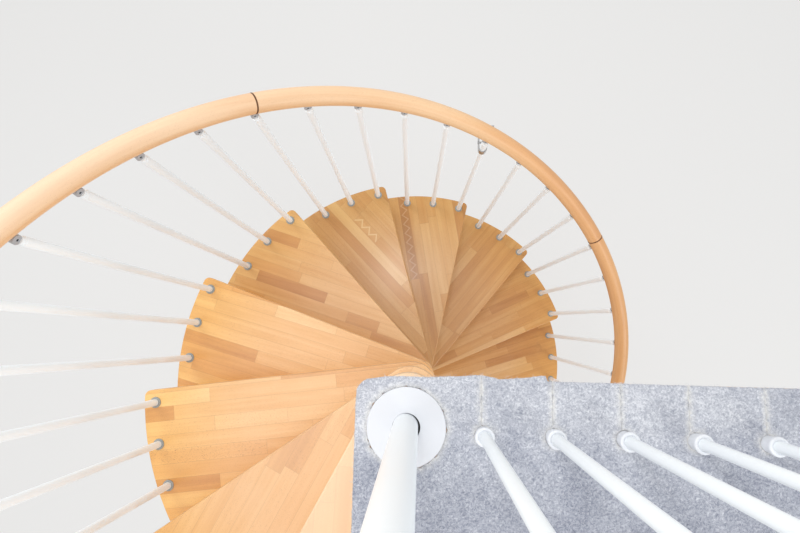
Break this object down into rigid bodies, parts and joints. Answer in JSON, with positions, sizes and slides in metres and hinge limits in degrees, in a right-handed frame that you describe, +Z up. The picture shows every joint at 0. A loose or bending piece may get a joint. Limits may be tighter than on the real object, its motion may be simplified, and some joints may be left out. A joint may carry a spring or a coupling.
{
  "type": "spiral staircase",
  "caption": "Spiral staircase with wedge-shaped beech treads round a steel column, white round balusters, a helical beech handrail and a square carpeted landing.",
  "frame": {"origin": "on the column's axis at the underside of the round base flange, level with the lower floor", "axes": "+Z up; the stair climbs counterclockwise seen from above; the landing fills the corner between +X and -Y, its railing runs along +X, and the wall bracket faces +Y"},
  "size_m": [1.6039, 1.6137, 4.1164],
  "materials": {
    "tread_beech": "satin lacquered stave-glued beech",
    "rail_beech": "satin lacquered beech, steamed and bent",
    "white_steel": "white powder coat, semi-gloss",
    "bare_steel": "zinc plated",
    "white_plastic": "moulded, satin",
    "grey_plastic": "moulded, satin",
    "grey_metal": "grey coated die casting",
    "dark_plastic": "moulded, dark brown",
    "grey_felt": "needle felt carpet, mottled light grey"
  },
  "bodies": {
    "root": {"base_flange": "white_steel", "column": "bare_steel", "column_spacers": "white_steel", "spacer_rings": "white_plastic", "long_balusters": "white_steel", "short_balusters": "white_steel", "baluster_foot": "white_steel", "tread_collars": "grey_plastic", "tread_caps": "grey_plastic", "rail_joints": "grey_metal", "rail_rings": "dark_plastic", "rail_end_caps": "rail_beech", "wall_bracket": "bare_steel", "landing_panel": "tread_beech", "landing_bearer": "white_steel", "landing_carpet": "grey_felt", "landing_disc": "white_steel", "landing_post": "white_steel", "landing_balusters": "white_steel", "landing_collars": "white_plastic", "landing_caps": "grey_plastic", "landing_joints": "grey_metal", "landing_rail": "rail_beech", "landing_angles": "bare_steel", "tread_01": "tread_beech", "tread_02": "tread_beech", "tread_03": "tread_beech", "tread_04": "tread_beech", "tread_05": "tread_beech", "tread_06": "tread_beech", "tread_07": "tread_beech", "tread_08": "tread_beech", "tread_09": "tread_beech", "tread_10": "tread_beech", "tread_11": "tread_beech", "tread_12": "tread_beech", "tread_13": "tread_beech", "tread_14": "tread_beech", "handrail_section_1": "rail_beech", "handrail_section_2": "rail_beech", "handrail_section_3": "rail_beech", "handrail_section_4": "rail_beech", "handrail_section_5": "rail_beech"}
  },
  "joints": []
}
